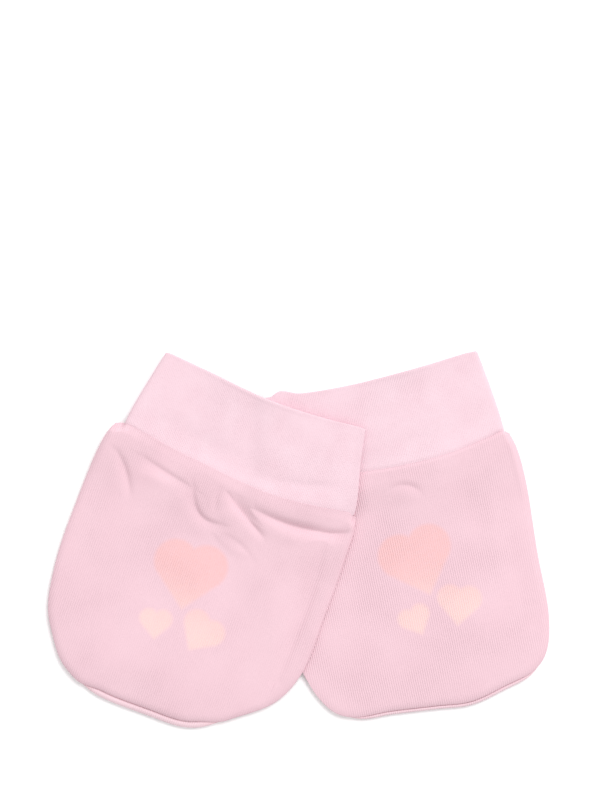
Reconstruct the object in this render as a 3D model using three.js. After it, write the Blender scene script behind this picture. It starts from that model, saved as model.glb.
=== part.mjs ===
// A pair of newborn's jersey scratch mittens with doubled rib cuffs, laid flat on a surface, the left one overlapping
// the right one. Each mitten is a back-of-hand panel and a palm panel, seamed round the sides and the fingertip end,
// and a tubular cuff folded double whose raw end is tucked into the bag. Millimetres, +Z up, fingertips towards -Y.
import * as THREE from 'three';

// Cloth and seams.
const jersey = 1.0; // wall of a jersey panel
const rib = 1.9; // wall of a cuff: two layers of rib
const seamGap = 0.3; // between pieces that are sewn together or lie on each other
const tuckGap = 0.4; // above and below the cuff's tucked end
const cuffTuck = 4.0; // how far the cuff's raw end runs on inside the bag

// Heights above what a mitten lies on.
const cuffHeight = 4.4; // a flattened cuff, front and back walls together
const cuffDome = 0.35; // how much it rises half-way from mouth to seam
const slitHalf = 0.2; // half the least space between its two walls
const tuckNarrowing = 1.3; // each side of its tucked end
const climbEnds = { from: 0.6, to: 3.5 }; // before the seam, where it climbs onto the palm panel
const ridgeHeight = 5.8; // the back panel where it rides over the tucked end of the cuff
const bagHeight = 2.75; // the back panel just inside its rim
const bagPuff = 1.35; // how much the air in the bag adds at its middle
const puffReach = 10; // how far inside the rim that air starts to show
const rimHeight = 1.75; // the outline seam, where the back panel starts
const palmRim = 0.85; // how far the palm panel curls up at the outline
const palmRimRise = 0.15;
const backRimRound = 3.2; // how far inside the outline the back panel is still rounding over
const palmRimRound = 1.5;
const noseRound = 1.6; // rounding of the bag's folded edge over the cuff
const ridgeEnds = { from: 3.4, to: 8.8 }; // distances below the cuff seam where the ridge falls to the bag
const peek = 1.4; // the palm's edge shows this far beyond the back panel at the fingertip end
const peekStarts = { from: 94, to: 108 }; // along the mitten
const sideTuck = 0.45; // along the sides the palm's edge hides this far under the back panel

// How the upper mitten rides over the lower one.
const drapeReach = 16; // how far outside the lower mitten the upper one leaves the surface
const coverOverCuff = 5.25;
const coverOverBag = 4.5;
const coverChange = { from: 34, to: 44 }; // along the lower mitten

// Each mitten has its own frame: across is to the right and along is from the cuff's mouth to the fingertips. place is
// where that frame's origin lies, which puts the middle of the pair's outline over the part's origin.
// seam is the line where cuff and bag join, from left to right; edge is the bag's outline from the seam's left end
// round the fingertips to its right end. spacing is the panels' mesh spacing, ridgeDrop presses the ridge and the
// cuff's tucked end down on the left side, swell is a soft rise beside the seam, and gape is the mouth's opening.
// A crease is a soft trough along a curve that runs from, round a bend, to.
const leftMitten = {
  name: 'left_mitten',
  place: { x: -10.75, y: 48.36 },
  turnDegrees: -20,
  mouth: [
    { across: -36, along: -0.8 },
    { across: -32, along: -0.3 },
    { across: -17.7, along: 1.0 },
    { across: 0.5, along: 2.8 },
    { across: 17.7, along: 2.5 },
    { across: 31.8, along: 1.2 },
    { across: 36, along: 0.8 },
  ],
  cuffSides: [
    { along: -1, left: -33.0, right: 33.9 },
    { along: 14, left: -36.0, right: 36.9 },
    { along: 26, left: -38.2, right: 38.9 },
    { along: 36, left: -38.4, right: 38.9 },
  ],
  seam: [
    { across: -41.3, along: 26.6 },
    { across: -38.4, along: 25.7 },
    { across: -33.4, along: 26.2 },
    { across: -20.0, along: 28.2 },
    { across: -9.1, along: 29.3 },
    { across: 4.0, along: 30.6 },
    { across: 16.7, along: 30.8 },
    { across: 28.0, along: 29.7 },
    { across: 38.0, along: 28.2 },
    { across: 41.2, along: 28.6 },
  ],
  edge: [
    { across: -41.3, along: 26.6 },
    { across: -42.6, along: 29.4 },
    { across: -43.8, along: 36.0 },
    { across: -44.5, along: 54.0 },
    { across: -44.3, along: 73.0 },
    { across: -41.6, along: 89.2 },
    { across: -37.1, along: 97.4 },
    { across: -30.8, along: 105.0 },
    { across: -19.3, along: 110.3 },
    { across: 0.0, along: 111.3 },
    { across: 12.4, along: 110.9 },
    { across: 18.7, along: 108.5 },
    { across: 26.6, along: 102.7 },
    { across: 37.5, along: 93.2 },
    { across: 42.4, along: 81.2 },
    { across: 42.9, along: 62.0 },
    { across: 42.9, along: 43.0 },
    { across: 42.4, along: 32.4 },
    { across: 41.2, along: 28.6 },
  ],
  spacing: { back: 3.8, palm: 4.2 },
  ridgeDrop: { drop: 0, from: -12, to: -2 },
  swell: { across: 20, reach: 9, height: 0.45 },
  gape: { at: 0.0, reach: 0.6, height: 1.1 },
  creases: [
    { from: [-37.6, 33.5], bend: [-33.6, 39.5], to: [-29.0, 47.0], depth: 0.8, width: 1.9 },
    { from: [-34.0, 32.2], bend: [-24.0, 35.4], to: [-12.0, 38.2], depth: 0.75, width: 1.6 },
    { from: [-10.0, 36.8], bend: [-10.2, 44.6], to: [1.6, 45.8], depth: 1.1, width: 1.8 },
    { from: [-2.4, 35.2], bend: [-3.0, 38.0], to: [-1.8, 41.5], depth: 0.55, width: 1.5 },
    { from: [1.4, 35.8], bend: [7.2, 39.0], to: [14.8, 45.4], depth: 1.15, width: 1.9 },
    { from: [8.6, 36.6], bend: [24.0, 39.4], to: [40.0, 34.4], depth: 1.35, width: 1.5 },
    { from: [18.0, 41.0], bend: [28.0, 43.0], to: [33.0, 50.0], depth: 0.3, width: 2.6 },
  ],
};
const rightMitten = {
  name: 'right_mitten',
  place: { x: 21.65, y: 52.16 },
  turnDegrees: 12,
  mouth: [
    { across: -34.5, along: 1.8 },
    { across: -31.9, along: 0.4 },
    { across: -27.9, along: -1.3 },
    { across: -22.0, along: 0.7 },
    { across: -6.0, along: 1.5 },
    { across: 9.0, along: 1.0 },
    { across: 20.0, along: 0.3 },
    { across: 33.0, along: -0.8 },
    { across: 37.5, along: -0.6 },
  ],
  cuffSides: [
    { along: -1, left: -32.6, right: 36.0 },
    { along: 12, left: -35.6, right: 37.9 },
    { along: 26, left: -38.4, right: 39.4 },
    { along: 36, left: -38.6, right: 39.4 },
  ],
  seam: [
    { across: -41.4, along: 27.2 },
    { across: -38.6, along: 26.2 },
    { across: -32.0, along: 26.8 },
    { across: -20.0, along: 28.4 },
    { across: -8.8, along: 29.4 },
    { across: 4.0, along: 30.1 },
    { across: 17.7, along: 29.7 },
    { across: 27.0, along: 28.4 },
    { across: 34.0, along: 27.0 },
    { across: 39.0, along: 26.0 },
    { across: 41.1, along: 27.2 },
  ],
  edge: [
    { across: -41.4, along: 27.2 },
    { across: -42.4, along: 31.0 },
    { across: -43.0, along: 45.0 },
    { across: -42.9, along: 66.0 },
    { across: -41.8, along: 79.0 },
    { across: -39.6, along: 88.4 },
    { across: -36.6, along: 96.9 },
    { across: -32.2, along: 103.2 },
    { across: -25.1, along: 106.9 },
    { across: -14.0, along: 107.6 },
    { across: 0.0, along: 108.9 },
    { across: 11.2, along: 109.9 },
    { across: 22.8, along: 107.3 },
    { across: 32.4, along: 104.3 },
    { across: 38.2, along: 98.2 },
    { across: 41.3, along: 87.3 },
    { across: 42.0, along: 66.0 },
    { across: 43.1, along: 42.0 },
    { across: 42.4, along: 32.0 },
    { across: 41.1, along: 27.2 },
  ],
  spacing: { back: 4.4, palm: 9 },
  ridgeDrop: { drop: 1, from: -6, to: 6 },
  swell: { across: 24, reach: 9, height: 0.1 },
  gape: { at: 0.4, reach: 0.42, height: 1.0 },
  creases: [
    { from: [-1.0, 35.6], bend: [5.0, 35.4], to: [9.6, 40.0], depth: 0.8, width: 1.9 },
    { from: [9.0, 36.6], bend: [24.0, 36.6], to: [40.0, 32.6], depth: 0.35, width: 2.0 },
    { from: [20.0, 38.0], bend: [24.0, 48.0], to: [23.0, 60.0], depth: 0.25, width: 3.2 },
  ],
};

// Mesh spacing. A panel has its own points next to its borders: shares of its width at the sides and of its length at
// the fingertip end, and distances from its seam. Between them each mitten gives the even spacing.
const backBorders = {
  side: [0, 0.004, 0.013, 0.026, 0.044],
  seam: [0, 0.35, 1.1, 2.2, 3.4, 4.6, 5.8, 7.0, 8.3, 9.8, 11.6, 14.0, 17.0, 20.5],
  tip: [0, 0.005, 0.016, 0.032, 0.055],
};
const palmBorders = {
  side: [0, 0.004, 0.012, 0.022],
  seam: [0, 1.4, 3.0, 4.6, 7.5],
  tip: [0, 0.004, 0.012, 0.022],
};
const edgePoints = 144;
const cuffFlatSteps = 20;
const cuffFoldSteps = 4; // round each side fold
const mouthFoldSteps = 4;
const outerRings = [1, 0.93, 0.84, 0.7, 0.56, 0.42, 0.28, 0.14]; // shares of the way from mouth to seam
const innerRings = [0.2, 0.4, 0.6, 0.8, 1];

const { lerp, clamp, smoothstep, degToRad } = THREE.MathUtils;
const quarterRound = (inside, reach) => Math.sqrt(1 - (1 - clamp(inside / reach, 0, 1)) ** 2);
const bell = (x, reach) => Math.exp(-((x / reach) ** 2));

// A smooth function through table rows: value of one column for a value of the other.
function smoothTable(rows, input, output) {
  const slope = (i) => {
    const a = rows[Math.max(i - 1, 0)];
    const b = rows[Math.min(i + 1, rows.length - 1)];
    return (b[output] - a[output]) / (b[input] - a[input]);
  };
  return (x) => {
    const at = clamp(x, rows[0][input], rows[rows.length - 1][input]);
    let i = 0;
    while (i < rows.length - 2 && at > rows[i + 1][input]) i++;
    const span = rows[i + 1][input] - rows[i][input];
    const t = (at - rows[i][input]) / span;
    const [t2, t3] = [t * t, t * t * t];
    return (
      (2 * t3 - 3 * t2 + 1) * rows[i][output] +
      (t3 - 2 * t2 + t) * slope(i) * span +
      (3 * t2 - 2 * t3) * rows[i + 1][output] +
      (t3 - t2) * slope(i + 1) * span
    );
  };
}

// Evenly spaced points of a smooth curve through a table's points.
function edgeLine(rows) {
  const curve = new THREE.CatmullRomCurve3(
    rows.map((row) => new THREE.Vector3(row.across, row.along, 0)),
    false,
    'centripetal',
  );
  curve.arcLengthDivisions = 1200;
  return curve.getSpacedPoints(edgePoints).map((p) => new THREE.Vector2(p.x, p.y));
}

// The same line moved inwards by a distance that each point gives.
function movedIn(line, distance) {
  return line.map((p, i) => {
    const before = line[Math.max(i - 1, 0)];
    const after = line[Math.min(i + 1, line.length - 1)];
    const direction = after.clone().sub(before).normalize();
    return new THREE.Vector2(p.x + direction.y * distance(p), p.y - direction.x * distance(p));
  });
}

function distanceToLine(line, x, y) {
  let best = Infinity;
  for (let i = 1; i < line.length; i++) {
    const [a, b] = [line[i - 1], line[i]];
    const [dx, dy] = [b.x - a.x, b.y - a.y];
    const t = clamp(((x - a.x) * dx + (y - a.y) * dy) / (dx * dx + dy * dy), 0, 1);
    best = Math.min(best, Math.hypot(x - a.x - t * dx, y - a.y - t * dy));
  }
  return best;
}

function isInside(line, x, y) {
  let inside = false;
  line.forEach((a, i) => {
    const b = line[(i + 1) % line.length];
    if (a.y > y !== b.y > y && x < ((b.x - a.x) * (y - a.y)) / (b.y - a.y) + a.x) inside = !inside;
  });
  return inside;
}

// How deep the creases are at a point, each fading out towards its two ends.
function creaseDepth(creases, across, along) {
  const creaseSteps = 14;
  let depth = 0;
  for (const crease of creases) {
    let here = 0;
    for (let k = 0; k <= creaseSteps; k++) {
      const t = k / creaseSteps;
      const at = (axis) =>
        (1 - t) ** 2 * crease.from[axis] + 2 * t * (1 - t) * crease.bend[axis] + t * t * crease.to[axis];
      const fade = Math.sin(Math.PI * clamp(0.12 + 0.76 * t, 0, 1));
      here = Math.max(here, fade * bell(Math.hypot(across - at(0), along - at(1)), crease.width));
    }
    depth = Math.max(depth, crease.depth * here);
  }
  return depth;
}

// The working functions of one mitten: where its lines run and how high what lies under it is.
function layOut(shape, lift) {
  const seamAlong = smoothTable(shape.seam, 'across', 'along');
  const mouthAlong = smoothTable(shape.mouth, 'across', 'along');
  const outline = edgeLine(shape.edge);
  const tipShare = (p) => smoothstep(p.y, peekStarts.from, peekStarts.to);
  const backEdge = movedIn(outline, (p) => peek * tipShare(p));
  const palmEdge = movedIn(outline, (p) => sideTuck * (1 - tipShare(p)));
  const cuffLeft = smoothTable(shape.cuffSides, 'along', 'left');
  const cuffRight = smoothTable(shape.cuffSides, 'along', 'right');
  const tuckAlong = seamAlong(0) + cuffTuck / 2;
  const isOverTuck = (across) => across > cuffLeft(tuckAlong) && across < cuffRight(tuckAlong);
  const turn = degToRad(shape.turnDegrees);
  const toPair = (across, along) => ({
    x: shape.place.x + across * Math.cos(turn) + along * Math.sin(turn),
    y: shape.place.y + across * Math.sin(turn) - along * Math.cos(turn),
  });
  const fromPair = (x, y) => {
    const [dx, dy] = [x - shape.place.x, y - shape.place.y];
    return {
      across: dx * Math.cos(turn) + dy * Math.sin(turn),
      along: dx * Math.sin(turn) - dy * Math.cos(turn),
    };
  };
  const under = (across, along) => {
    const p = toPair(across, along);
    return lift(p.x, p.y);
  };
  const swell = (across) => shape.swell.height * bell(across - shape.swell.across, shape.swell.reach);
  const ridgeDrop = (across) =>
    shape.ridgeDrop.drop * (1 - smoothstep(across, shape.ridgeDrop.from, shape.ridgeDrop.to));
  const lines = { seamAlong, mouthAlong, cuffLeft, cuffRight, isOverTuck, outline, backEdge, palmEdge };
  return { ...shape, ...lines, turn, fromPair, under, swell, ridgeDrop };
}

// Points of a bag panel by shares across and along, from its seam line and its outline.
function panelPatch(line, seamAlong) {
  const corner = (side) =>
    line.reduce((best, p, i) => (p.y + side * p.x > line[best].y + side * line[best].x ? i : best), 0);
  const [leftCorner, rightCorner] = [corner(-1), corner(1)];
  const last = line.length - 1;
  const stretch = (from, to) => (share) => {
    const at = lerp(from, to, share);
    const i = Math.min(Math.floor(at), last - 1);
    return line[i].clone().lerp(line[i + 1], at - i);
  };
  const left = stretch(0, leftCorner);
  const tip = stretch(leftCorner, rightCorner);
  const right = stretch(last, rightCorner);
  const top = (s) => {
    const across = lerp(line[0].x, line[last].x, s);
    return new THREE.Vector2(across, seamAlong(across));
  };
  return (s, t) => {
    const blend = (axis) =>
      (1 - t) * top(s)[axis] +
      t * tip(s)[axis] +
      (1 - s) * left(t)[axis] +
      s * right(t)[axis] -
      (1 - s) * ((1 - t) * top(0)[axis] + t * tip(0)[axis]) -
      s * ((1 - t) * top(1)[axis] + t * tip(1)[axis]);
    return { across: blend('x'), along: blend('y') };
  };
}

function evenSteps(from, to, steps) {
  return Array.from({ length: steps - 1 }, (_, i) => lerp(from, to, (i + 1) / steps));
}

// A panel's grid of points, each finished by a function that gives its top and bottom heights.
function panelGrid(edge, seamAlong, borders, spacing, heights) {
  const patch = panelPatch(edge, seamAlong);
  const width = edge[edge.length - 1].x - edge[0].x;
  const bagLength = Math.max(...edge.map((p) => p.y)) - seamAlong(0);
  const filled = (first, last, size) => {
    const [from, to] = [first[first.length - 1], last[0]];
    return [...first, ...evenSteps(from, to, Math.round(((to - from) * size) / spacing)), ...last];
  };
  const mirrored = (shares) => shares.map((share) => 1 - share).reverse();
  const across = filled(borders.side, mirrored(borders.side), width);
  const fromSeam = borders.seam.map((distance) => distance / bagLength);
  const along = filled(fromSeam, mirrored(borders.tip), bagLength);
  return along.map((t) =>
    across.map((s) => {
      const p = patch(s, t);
      return { ...p, ...heights(p.across, p.along) };
    }),
  );
}

// A closed wall from a grid of points that each have a top and a bottom height.
function wallGeometry(grid) {
  const [rows, columns] = [grid.length, grid[0].length];
  const points = grid.flat();
  const positions = ['top', 'bottom'].flatMap((side) => points.flatMap((p) => [p.across, -p.along, p[side]]));
  const top = (i, j) => i * columns + j;
  const bottom = (i, j) => rows * columns + top(i, j);
  const faces = [];
  const quad = (a, b, c, d) => faces.push(a, b, c, a, c, d);
  for (let i = 0; i < rows - 1; i++) {
    for (let j = 0; j < columns - 1; j++) {
      quad(top(i, j), top(i + 1, j), top(i + 1, j + 1), top(i, j + 1));
      quad(bottom(i, j), bottom(i, j + 1), bottom(i + 1, j + 1), bottom(i + 1, j));
    }
  }
  for (let j = 0; j < columns - 1; j++) {
    quad(top(0, j), top(0, j + 1), bottom(0, j + 1), bottom(0, j));
    quad(top(rows - 1, j + 1), top(rows - 1, j), bottom(rows - 1, j), bottom(rows - 1, j + 1));
  }
  for (let i = 0; i < rows - 1; i++) {
    quad(top(i + 1, 0), top(i, 0), bottom(i, 0), bottom(i + 1, 0));
    quad(top(i, columns - 1), top(i + 1, columns - 1), bottom(i + 1, columns - 1), bottom(i, columns - 1));
  }
  return closedGeometry(positions, faces);
}

function closedGeometry(positions, faces) {
  const geometry = new THREE.BufferGeometry();
  geometry.setAttribute('position', new THREE.Float32BufferAttribute(positions, 3));
  geometry.setIndex(faces);
  geometry.computeVertexNormals();
  return geometry;
}

// A cuff's upper face above what it lies on. share is the way from its mouth to the seam, and sideways runs from -1
// to 1 between its side folds.
function cuffTop(mitten, across, share, sideways) {
  const middleness = Math.max(1 - sideways ** 2, 0);
  const nearMouth = clamp(1 - share / 0.4, 0, 1) ** 2;
  const gape = mitten.gape.height * bell(sideways - mitten.gape.at, mitten.gape.reach) * nearMouth;
  const dome = cuffDome * Math.sin(Math.PI * clamp(share, 0, 1));
  const nearSeam = smoothstep(share, 0.7, 1);
  return cuffHeight + (gape + dome) * middleness + (mitten.swell(across) - mitten.ridgeDrop(across)) * nearSeam;
}

// The back-of-hand panel's upper surface above what the mitten lies on.
function backTop(mitten, across, along) {
  const inside = distanceToLine(mitten.backEdge, across, along);
  const belowSeam = Math.max(along - mitten.seamAlong(across), 0);
  const ridge = ridgeHeight + mitten.swell(across) - mitten.ridgeDrop(across);
  const bag = bagHeight + bagPuff * (1 - Math.exp(-inside / puffReach));
  const falls = smoothstep(belowSeam, ridgeEnds.from, ridgeEnds.to);
  const creased = lerp(ridge, bag, falls) - creaseDepth(mitten.creases, across, along);
  const foldedEdge = ridge - jersey + seamGap;
  const nosed = lerp(foldedEdge, creased, quarterRound(belowSeam, noseRound));
  return lerp(rimHeight, nosed, quarterRound(inside, backRimRound));
}

function backPanel(mitten) {
  const step = 0.1; // for slopes
  const heights = (across, along) => {
    const height = (du, dv) => backTop(mitten, across + du, along + dv) + mitten.under(across + du, along + dv);
    const slope = Math.hypot(height(step, 0) - height(-step, 0), height(0, step) - height(0, -step)) / (2 * step);
    const top = height(0, 0);
    const under = mitten.under(across, along);
    const overPalm = under + jersey + 1.5 * seamGap;
    const belowSeam = along - mitten.seamAlong(across);
    const overTuck = belowSeam < cuffTuck + 0.9 && mitten.isOverTuck(across);
    const overCuff = overTuck ? under + cuffTop(mitten, across, 1, 0) + tuckGap : 0;
    const wall = top - jersey * Math.hypot(1, slope);
    return { top, bottom: Math.min(Math.max(overPalm, overCuff, wall), top - seamGap) };
  };
  return wallGeometry(panelGrid(mitten.backEdge, mitten.seamAlong, backBorders, mitten.spacing.back, heights));
}

function palmPanel(mitten) {
  const heights = (across, along) => {
    const inside = distanceToLine(mitten.palmEdge, across, along);
    const under = mitten.under(across, along);
    const curl = palmRim * (1 - quarterRound(inside, palmRimRound));
    const top = jersey + palmRimRise * (1 - smoothstep(inside, 0, palmRimRound));
    return { top: under + top, bottom: under + curl };
  };
  return wallGeometry(panelGrid(mitten.palmEdge, mitten.seamAlong, palmBorders, mitten.spacing.palm, heights));
}

// One ring round the flattened cuff. share runs from the mouth at 0 to the seam at 1, beyond continues along it, and
// depth is the share of the wall from its outer face to its inner one.
function cuffRing(mitten, { share, beyond = 0, depth = 0 }) {
  const middleAlong = lerp(mitten.mouthAlong(0), mitten.seamAlong(0), share) + beyond;
  const narrowing = share === 1 ? tuckNarrowing * smoothstep(beyond, 0, 1.2) : 0;
  const left = mitten.cuffLeft(middleAlong) + narrowing;
  const right = mitten.cuffRight(middleAlong) - narrowing;
  const [middle, flatHalf] = [(left + right) / 2, (right - left) / 2 - cuffHeight / 2];
  const point = (across, angle) => {
    const along = lerp(mitten.mouthAlong(across), mitten.seamAlong(across), share) + beyond;
    const beforeSeam = mitten.seamAlong(across) - along;
    const low = (jersey + tuckGap) * (1 - smoothstep(beforeSeam, climbEnds.from, climbEnds.to));
    const half = (cuffTop(mitten, across, share, (across - middle) / (flatHalf + cuffHeight / 2)) - low) / 2;
    const reach = half - depth * Math.min(rib, half - slitHalf);
    const at = across + Math.sin(angle) * reach;
    return new THREE.Vector3(at, -along, low + half + Math.cos(angle) * reach + mitten.under(at, along));
  };
  const flat = (from, angle) =>
    [from, ...evenSteps(from, -from, cuffFlatSteps), -from].map((offset) => point(middle + offset, angle));
  const fold = (side, start) =>
    evenSteps(start, start + Math.PI, cuffFoldSteps).map((angle) => point(middle + side * flatHalf, angle));
  return [...flat(-flatHalf, 0), ...fold(1, 0), ...flat(flatHalf, Math.PI), ...fold(-1, Math.PI)];
}

// The cuff: out from its tucked end to the mouth, round the fold there, and back inside.
function cuffTube(mitten) {
  const outside = [
    { share: 1, beyond: cuffTuck },
    { share: 1, beyond: cuffTuck / 2 },
    { share: 1, beyond: 0.6 },
    ...outerRings.map((share) => ({ share })),
  ];
  const fold = Array.from({ length: mouthFoldSteps + 1 }, (_, k) => {
    const angle = (Math.PI * k) / mouthFoldSteps;
    return { share: 0, beyond: (rib / 2) * (1 - Math.sin(angle)), depth: (1 - Math.cos(angle)) / 2 };
  });
  const inside = [
    ...innerRings.map((share) => ({ share, depth: 1 })),
    { share: 1, beyond: cuffTuck / 2, depth: 1 },
    { share: 1, beyond: cuffTuck, depth: 1 },
  ];
  const rings = [...outside, ...fold, ...inside].map((place) => cuffRing(mitten, place));
  const around = rings[0].length;
  const faces = [];
  rings.forEach((_, i) => {
    const [a, b] = [i * around, ((i + 1) % rings.length) * around];
    for (let j = 0; j < around; j++) {
      const k = (j + 1) % around;
      faces.push(a + j, a + k, b + k, a + j, b + k, b + j);
    }
  });
  return closedGeometry(rings.flat().flatMap((p) => p.toArray()), faces);
}

// How high the upper mitten is carried over a point by the lower mitten, easing down to the surface around it.
function coverOf(lower) {
  const side = (key) => lower.cuffSides.slice(0, 3).map((row) => new THREE.Vector2(row[key], Math.max(row.along, 0)));
  const whole = [...side('left'), ...lower.outline, ...side('right').reverse()];
  const closed = [...whole, whole[0]];
  return (x, y) => {
    const { across, along } = lower.fromPair(x, y);
    const away = isInside(whole, across, along) ? 0 : distanceToLine(closed, across, along);
    const full = lerp(coverOverCuff, coverOverBag, smoothstep(along, coverChange.from, coverChange.to));
    return full * (1 - smoothstep(away, 0.4, drapeReach));
  };
}

const jerseyPink = () => new THREE.MeshStandardMaterial({ color: 0xf6d2dd, roughness: 0.9, metalness: 0 });
const ribPink = () => new THREE.MeshStandardMaterial({ color: 0xfadbe5, roughness: 0.9, metalness: 0 });

function mittenGroup(mitten) {
  const group = new THREE.Group();
  group.position.set(mitten.place.x, mitten.place.y, 0);
  group.rotation.z = mitten.turn;
  const pieces = [
    ['palm', palmPanel, jerseyPink()],
    ['cuff', cuffTube, ribPink()],
    ['back', backPanel, jerseyPink()],
  ];
  for (const [piece, shape, material] of pieces) {
    const mesh = new THREE.Mesh(shape(mitten), material);
    mesh.name = `${mitten.name}_${piece}`;
    group.add(mesh);
  }
  return group;
}

const lower = layOut(rightMitten, () => 0);
const upper = layOut(leftMitten, coverOf(lower));
const pair = new THREE.Group();
pair.add(mittenGroup(lower), mittenGroup(upper));
export default pair;
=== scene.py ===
"""A newborn's pair of jersey mittens with doubled rib cuffs, laid flat, the left one partly on the right.

Each mitten has its own frame in millimetres: across is to the right, and along is from the cuff's mouth to
the fingertips. Heights are above what the mitten lies on. The pair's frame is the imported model's, in metres.
"""

import bpy
import numpy as np
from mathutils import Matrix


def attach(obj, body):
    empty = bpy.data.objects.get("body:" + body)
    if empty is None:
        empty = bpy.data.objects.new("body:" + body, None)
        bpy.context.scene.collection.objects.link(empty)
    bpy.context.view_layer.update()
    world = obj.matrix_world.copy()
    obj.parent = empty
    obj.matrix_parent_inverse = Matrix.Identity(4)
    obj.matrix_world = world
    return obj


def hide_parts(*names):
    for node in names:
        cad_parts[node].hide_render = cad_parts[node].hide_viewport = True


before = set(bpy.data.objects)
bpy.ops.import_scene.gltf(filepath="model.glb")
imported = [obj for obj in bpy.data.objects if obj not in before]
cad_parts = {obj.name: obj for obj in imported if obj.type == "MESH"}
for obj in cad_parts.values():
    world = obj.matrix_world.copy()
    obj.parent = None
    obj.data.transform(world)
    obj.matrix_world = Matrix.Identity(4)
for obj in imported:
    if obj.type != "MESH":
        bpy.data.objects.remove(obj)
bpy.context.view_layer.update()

MM = 0.001  # metres in a millimetre

# Cloth and seams, in millimetres like all sizes down to the colours.
JERSEY = 1.0
RIB = 1.9
SEAM_HALF = 41.5  # half the width of the seam between cuff and bag
CUFF_TUCK = 4.0  # the cuff's raw end goes this far into the bag
TUCK_NARROWS = 2.4  # and is narrower there at each side
SIDE_TUCK = 0.45  # the palm's edge lies this far within the back's at the sides
TIP_STARTS, TIP_ENDS = 96, 104  # along, where the outline turns into the fingertips' end
PEEK_ROLL = 0.45  # how much the palm's edge is rolled up where it shows there
EDGE_ROUND = 2.4  # the back's edge is rounded over this distance
PALM_ROUND = 1.5  # and the palm's, from below

# Heights.
CUFF_HEIGHT = 4.4
CUFF_DOME = 0.35
CUFF_RISE, CUFF_RISE_FROM = 0.95, 0.72  # its rise to the seam, and the share of its length where that starts
GAPE_LENGTH = 0.4  # the share of the cuff's length over which its mouth gapes
RIDGE_HEIGHT = 5.6
BAG_HEIGHT = 2.5
BAG_PUFF, PUFF_REACH = 1.5, 10
RIM_HEIGHT = 1.45
BACK_ON_CUFF = 0.12  # how far the back's upper surface starts above the cuff
LEAST_GAP = 0.04  # between the back's lower surface and the cuff
PALM_GAP = 0.15  # between the back and the palm
LEAST_WALL = 0.06  # how thin the back gets at its edge
PALM_CURL = 0.85  # how far the palm's edge curls up
CREASES_START = (2.5, 4.8)  # below the seam, where creases come in

# The left mitten's right side lies on the right mitten.
RIM_ON_OTHER = 0.3  # the rim's height there
PALM_ON_OTHER = 0.6  # the palm's thickness, pressed
CURL_ON_OTHER = 0.1
THINNED_ON_OTHER = 0.30  # the share of the height that is lost
TAPERED_ON_OTHER, TAPER_RUN = 0.25, (27, 38)  # how much more at the side, and across from where to where
# How high the lower mitten carries the upper one at its side, how much more within, over what reach, and how
# far the upper one's drape reaches beside it.
CUFF_CARRIES = (3.7, 0.7, 5.0, 26)
BAG_CARRIES = (1.65, 0.8, 8.0, 16)
CARRY_CHANGES = (34, 48)  # along, from the cuff's row to the bag's
PRESSED_BAG, PRESSED_CUFF = 0.44, 0.10  # shares of the lower mitten's height that the upper one presses out
PRESS_CHANGES = (4, 14)  # below the seam, from the cuff's share to the bag's
PRESS_REACH = 36

# Mesh steps, and extra rows and columns beside the borders as shares of the way.
BACK_COLUMNS, BACK_ROWS = 225, 168
BACK_SIDE_COLUMNS = (0.0008, 0.0025, 0.005, 0.009)
BACK_TIP_ROWS = (0.9865, 0.992, 0.9965, 0.999)
PALM_STEPS = 90
PALM_BORDERS = (0.001, 0.003, 0.006, 0.010, 0.015, 0.02)
CUFF_FLAT_STEPS, CUFF_SIDE_STEPS = 110, 16
CUFF_OUTER_RINGS, CUFF_INNER_RINGS, CUFF_MOUTH_STEPS = 66, 14, 12
CUFF_BLUNT, FOLD_BLUNT = 0.6, 0.5  # 1 is round, and less is blunter: the tube's sides, the fold at its mouth

# Knit. A wale is a stitch's width, a course its height. Wales, legs and fuzz each make a share of the relief.
EDGE_SHADE_REACH = 2.0  # painted shade darkens the cloth this far in from a fold's edge
JERSEY_KNIT = {
    "colours": ((231.5, 196.5, 206), (228, 191.5, 201.5)),  # the cloth's, and its darker clouds'
    "wale": 0.70,
    "course": 0.52,
    "relief": 0.09,
    "wales": 0.45,
    "legs": 0.06,
    "fuzz": 0.3,
    "cloud_scale": 60,
    "valley_shade": 0.038,  # painted shade: how much darker it is between the wales
}
RIB_KNIT = {
    "colours": ((235.5, 206, 215.5), (232.5, 199.5, 209.5)),
    "wale": 0.56,
    "course": 0.5,
    "relief": 0.10,
    "wales": 0.25,
    "legs": 0.08,
    "fuzz": 1.0,
    "cloud_scale": 110,
    "valley_shade": 0.05,
}
# Other colours, like the knits' as 0 to 255 screen values.
PRINT_COLOURS = ((237, 188, 189), (242, 205, 201))  # at the head and at the foot of the print
# Painted light: the palm's rolled edge, where it shows at the fingertips, is painted paler as if lit more.
PAINTED_EDGE_LIGHT_COLOUR = (231, 204, 212)
SHEEN_COLOUR = (255, 225, 232)
FLOOR_COLOUR = (252, 252, 252)

# across, along, size, tilt: each heart's point, from the print's own place
HEARTS = [(-1.0, 15.5, 20.0, 8), (5.5, 27.0, 12.0, -16), (-6.0, 27.5, 9.0, 14)]

# The photograph's frame in pixels, a pixel's size on the floor, and the pixel of the pair's origin.
FRAME_WIDTH, FRAME_HEIGHT = 600, 800
PIXEL = 0.32
ORIGIN_PIXEL = (298.66, 539.9)

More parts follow.
